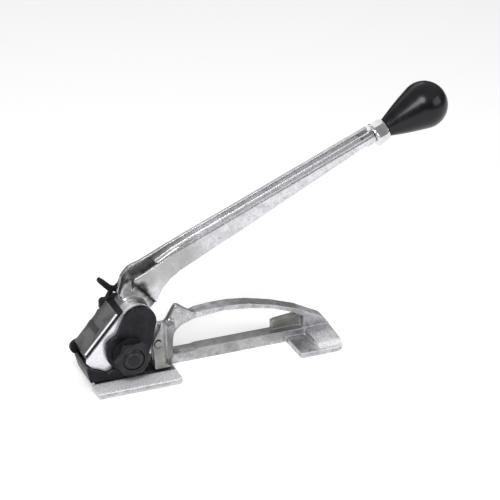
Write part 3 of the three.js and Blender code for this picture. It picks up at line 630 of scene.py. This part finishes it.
# lever casting: top line of the shank, groove beside its near flange, mouth where the groove starts
leverCast = {
    "voxel": 0.45, "soften": 3,
    "topLine": [(12, 96.6), (22.6, 101.2), (34, 107), (51, 117), (67.6, 124.4), (114, 143.8), (236, 195.5)],
    "groove": (23.2, 25.0), "grooveDrop": 9.5, "grooveEndDrop": 8.6, "grooveOpen": (30, 12),
    "mouth": (23.2, 28.4),
    "mouthOutline": [(12, 81.6), (24, 92), (44, 105.5), (70, 120), (70, 140), (12, 120)],
    "rootZones": [((-8, 12, 58), (42, 25, 100), 4.0)], "rootRounds": 60,
    "oilHole": {"x": 7.7, "y": 15.5, "radius": 1.5, "deep": 8, "bottom": 10.5, "steps": 24},
}


def grooveOutline():
    line = leverCast["topLine"]
    (firstX, firstZ), (lastX, lastZ) = line[0], line[-1]
    firstOpen, lastOpen = leverCast["grooveOpen"]
    under = [(x, z - leverCast["grooveDrop"]) for x, z in line[:-1]]
    under.append((lastX, lastZ - leverCast["grooveEndDrop"]))
    return [*under, (lastX, lastZ + lastOpen), (firstX, firstZ + firstOpen)]


def oilDrill():
    hole = leverCast["oilHole"]
    drill = latheOf([(0, 0), (hole["radius"], 0), (hole["radius"], hole["deep"]), (0, hole["deep"])],
                    hole["steps"])
    upright = Matrix.Rotation(math.pi / 2, 3, "X")
    bmesh.ops.rotate(drill, cent=(0, 0, 0), matrix=upright, verts=drill.verts)
    place = (hole["x"], hole["y"], leverAxis.z / mm + hole["bottom"])
    bmesh.ops.translate(drill, vec=place, verts=drill.verts)
    return drill


def makeLever():
    shape = carve(cadShape("handle"), slabOf(grooveOutline(), *leverCast["groove"]))
    shape = carve(shape, slabOf(leverCast["mouthOutline"], *leverCast["mouth"]))
    shape = fused([shape], leverCast["voxel"], leverCast["soften"])
    shape = softenWithin(shape, leverCast["rootZones"], leverCast["rootRounds"])
    shape = carve(shape, oilDrill())
    return pieceFrom("leverCasting", inMetres(shape), "lever_casting", "lever", ["handle"])


lever = makeLever()
print("lever casting:", len(lever.data.polygons), "faces")

# black rocker steel: piece name, voxel, rounds of softening, slot
forged = {
    "near_arm": ("nearArm", 0.4, 4, "black_steel"),
    "gear_guard": ("gearGuard", 0.45, 5, "black_steel"),
    "holding_pawl": ("holdingPawl", 0.35, 5, "black_steel"),
}
for node, (name, voxel, rounds, slotName) in forged.items():
    body = nodes[node]["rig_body"]
    piece = pieceFrom(name, inMetres(fused([cadShape(node)], voxel, rounds)), slotName, body, [node])
    print(name + ":", len(piece.data.polygons), "faces")


# shaft nut: the crown turns down its corners, the bore has a bevelled mouth
nut = {
    "flats": 30.0, "faceRing": 13.6, "crownOut": 4.6, "crownDeep": 2.6,
    "backRing": 17, "backOut": 22, "backDeep": 2, "bore": 10.0, "mouth": 11.2, "mouthDeep": 1.2,
}


def makeNut():
    low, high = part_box("feed_nut")
    near, far = low.y / mm, high.y / mm
    ring = nut["faceRing"]
    block = slabOf(hexagon(nut["flats"] / 2 / math.cos(math.pi / 6)), near, far)
    crown = latheOf([(0, near), (ring, near), (ring + nut["crownOut"], near + nut["crownDeep"]),
                     (nut["backOut"], far - nut["backDeep"]), (nut["backRing"], far), (0, far)])
    bore = latheOf([(0, near - 1), (nut["mouth"], near - 1), (nut["bore"], near + nut["mouthDeep"]),
                    (nut["bore"], far + 1), (0, far + 1)])
    shape = moved(carve(carve(block, crown, "INTERSECT"), bore), feedAxis)
    return pieceFrom("shaftNut", inMetres(shape), "black_hardware", "feed_train", ["feed_nut"])


nutPiece = makeNut()

# feed shaft: the near end has a turned step round its centre
shaftEnd = {
    "centre": 6.4, "rim": 8.9, "rimDeep": 0.2, "deep": 0.7, "slope": 0.5, "centreDeep": 0.3, "steps": 64,
}


def makeShaft():
    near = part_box("feed_shaft")[0].y / mm
    centre, rim = shaftEnd["centre"], shaftEnd["rim"]
    step = latheOf([(centre, near - 1), (rim, near - 1), (rim, near + shaftEnd["rimDeep"]),
                    (centre + shaftEnd["slope"], near + shaftEnd["deep"]),
                    (centre, near + shaftEnd["centreDeep"]), (centre, near - 1)], shaftEnd["steps"])
    bmesh.ops.remove_doubles(step, verts=step.verts, dist=0.0001)
    bmesh.ops.recalc_face_normals(step, faces=step.faces)
    shape = carve(cadShape("feed_shaft"), moved(step, feedAxis))
    return pieceFrom("feedShaft", inMetres(shape), slots["feed_shaft"], "feed_train", ["feed_shaft"])


shaftPiece = makeShaft()

# knob and collar, turned about +Y, then laid along the shank's end
knob = {
    "angle": 24.0, "stand": 9.6, "radius": 22.2, "neck": 13.3, "reach": 42.6, "swell": 0.5,
    "lip": [(0, 0), (7.6, 0), (8.3, 0.2), (8.8, 0.8), (9.05, 1.6)],  # radius, height over the neck
    "meets": 108.0,  # degrees from the ball's top where the cone meets it
    "coneSteps": 14, "ballSteps": 24,
}
collar = {
    "hexReach": 10.8, "hexFrom": 1, "height": 13,
    "crown": [(0, 0), (13.4, 0), (12.4, 7), (11.4, 9.8), (10.2, 11.4), (9.4, 13), (0, 13)],
    "washer": [(0, 0), (10.7, 0), (11.2, 0.3), (11.3, 1.0), (11.1, 1.9), (10.2, 2.4), (0, 2.4)],
}


def knobPlace(shape):
    stud = centreOf("knob_stud") / mm
    turn = math.radians(knob["angle"])
    along = Vector((math.cos(turn), 0, math.sin(turn)))
    start = stud - along * knob["stand"]
    # the turned shape's +Y becomes the knob's axis
    across = Vector((0, 1, 0))
    third = along.cross(across)
    spin = Matrix((across, along, third)).transposed()
    for vertex in shape.verts:
        vertex.co = start + spin @ vertex.co
    bmesh.ops.recalc_face_normals(shape, faces=shape.faces)
    return shape


def knobProfile():
    neck, radius = knob["neck"], knob["radius"]
    centre = neck + knob["reach"]
    tangent = math.radians(knob["meets"])
    ballAlong, ballRadius = centre + radius * math.cos(tangent), radius * math.sin(tangent)
    lipRadius, lipHeight = knob["lip"][-1]
    profile = [(r, neck + h) for r, h in knob["lip"]]
    for i in range(1, knob["coneSteps"]):
        share = i / knob["coneSteps"]
        swell = knob["swell"] * math.sin(math.pi * share)
        profile.append((lipRadius + (ballRadius - lipRadius) * share + swell,
                        neck + lipHeight + (ballAlong - neck - lipHeight) * share))
    for i in range(knob["ballSteps"]):
        turn = tangent * (1 - i / knob["ballSteps"])
        profile.append((radius * math.sin(turn), centre + radius * math.cos(turn)))
    profile.append((0, centre + radius))
    return profile


def makeKnob():
    shape = latheOf(knobProfile())
    smoothAll(shape)
    return pieceFrom("knobBall", inMetres(knobPlace(shape)), "black_plastic", "lever", ["knob"])


def makeCollar():
    block = slabOf(hexagon(collar["hexReach"]), collar["hexFrom"], collar["height"])
    shape = carve(block, latheOf(collar["crown"]), "INTERSECT")
    shape = carve(shape, latheOf(collar["washer"]), "UNION")
    smoothAll(shape)
    return pieceFrom("collarNut", inMetres(knobPlace(shape)), "bright_collar", "lever", ["knob_collar"])


makeKnob()
collarPiece = makeCollar()
print("knob and collar made")

# carried-over nodes: finish, and edges eased by these widths; the springs stay as they are
easing = {"width": 0.3, "segments": 2, "angle": 32.0, "turnedAngle": 20.0}
widths = {"near_cheek": 0.35, "front_cover": 0.5, "cover_band": 0.15, "far_plate": 0.6, "front_block": 0.6,
          "gripper_plate": 0.08, "feed_wheel": 0.1, "drive_gear": 0.2, "pinion": 0.2, "ratchet_wheel": 0.2}
uneased = {"rocker_spring", "drive_pawl_spring"}


def ease(piece, width):
    rolled = piece.modifiers.new("ease", "BEVEL")
    rolled.width = width * mm
    rolled.segments = easing["segments"]
    rolled.limit_method = "ANGLE"
    rolled.angle_limit = math.radians(easing["angle"])
    rolled.harden_normals = True
    rolled.use_clamp_overlap = True


def smoothBySharp(piece, angle):
    mesh = piece.data
    shape = bmesh.new()
    shape.from_mesh(mesh)
    smoothAll(shape)
    for edge in shape.edges:
        edge.smooth = len(edge.link_faces) == 2 and edge.calc_face_angle(0.0) < math.radians(angle)
    shape.to_mesh(mesh)
    shape.free()


for piece in [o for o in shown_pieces() if o.type == "MESH"]:
    node = piece.get("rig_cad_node")
    if node:
        piece.data.materials.clear()
        piece.data.materials.append(finishes[slots[node]])
        smoothBySharp(piece, easing["angle"])
        if node not in uneased:
            ease(piece, widths.get(node, easing["width"]))
for piece in (nutPiece, collarPiece, shaftPiece):
    smoothBySharp(piece, easing["turnedAngle"])
    ease(piece, easing["width"])


# stage
def makeStage():
    shape = bmesh.new()
    bmesh.ops.create_grid(shape, x_segments=8, y_segments=8, size=light["reach"])
    bmesh.ops.translate(shape, vec=(0, 0, -light["drop"]), verts=shape.verts)
    mesh = bpy.data.meshes.new("floor")
    shape.to_mesh(mesh)
    shape.free()
    floor = bpy.data.objects.new("floor", mesh)
    bpy.context.scene.collection.objects.link(floor)
    paint = newPaint("paleFloor")
    cloud = paint.noise(paint.place(), 3.0, 2.0)
    shade = tuple(v * light["floorShade"] for v in light["floor"])
    colour = paint.blend(cloud, rgb(light["floor"]), rgb(shade))
    mesh.materials.append(paint.finish({
        "Base Color": colour, "Roughness": 0.9, "Specular IOR Level": 0.1,
        "Emission Color": colour, "Emission Strength": light["glow"]}))


def makeWorld():
    world = bpy.data.worlds.new("studio")
    bpy.context.scene.world = world
    paint = Paint(world)
    where = paint.node("ShaderNodeTexCoord", output="Generated")
    height = paint.node("ShaderNodeSeparateXYZ", None, {0: where}, output="Z")
    sky = paint.spread(height, light["skyFrom"], light["skyFull"])
    colour = paint.blend(sky, rgb((light["horizon"],) * 3), rgb((light["sky"],) * 3))
    shade = paint.node("ShaderNodeBackground", None, {"Color": colour})
    paint.node("ShaderNodeOutputWorld", None, {"Surface": shade})


def makeLamp(name, place, size, power):
    lamp = bpy.data.lights.new(name, "AREA")
    lamp.shape = "RECTANGLE"
    lamp.size, lamp.size_y = size
    lamp.energy = power
    holder = bpy.data.objects.new(name, lamp)
    holder.location = place
    aim = Vector(lampAim) - Vector(place)
    holder.rotation_euler = aim.to_track_quat("-Z", "Y").to_euler()
    bpy.context.scene.collection.objects.link(holder)


def makeCamera():
    lens = bpy.data.cameras.new("camera")
    lens.lens = view["lens"]
    lens.sensor_width = view["sensor"]
    lens.clip_end = 20.0
    camera = bpy.data.objects.new("camera", lens)
    turn, lift = math.radians(view["azimuth"]), math.radians(view["elevation"])
    back = Vector((math.sin(turn) * math.cos(lift), -math.cos(turn) * math.cos(lift), math.sin(lift)))
    camera.location = Vector(view["aim"]) + back * view["distance"]
    camera.rotation_euler = (-back).to_track_quat("-Z", "Y").to_euler()
    bpy.context.scene.collection.objects.link(camera)
    bpy.context.scene.camera = camera


makeStage()
makeWorld()
for name, lamp in lamps.items():
    makeLamp(name, **lamp)
makeCamera()
bpy.context.scene.view_settings.view_transform = "Standard"
print("stage, lights and camera set")
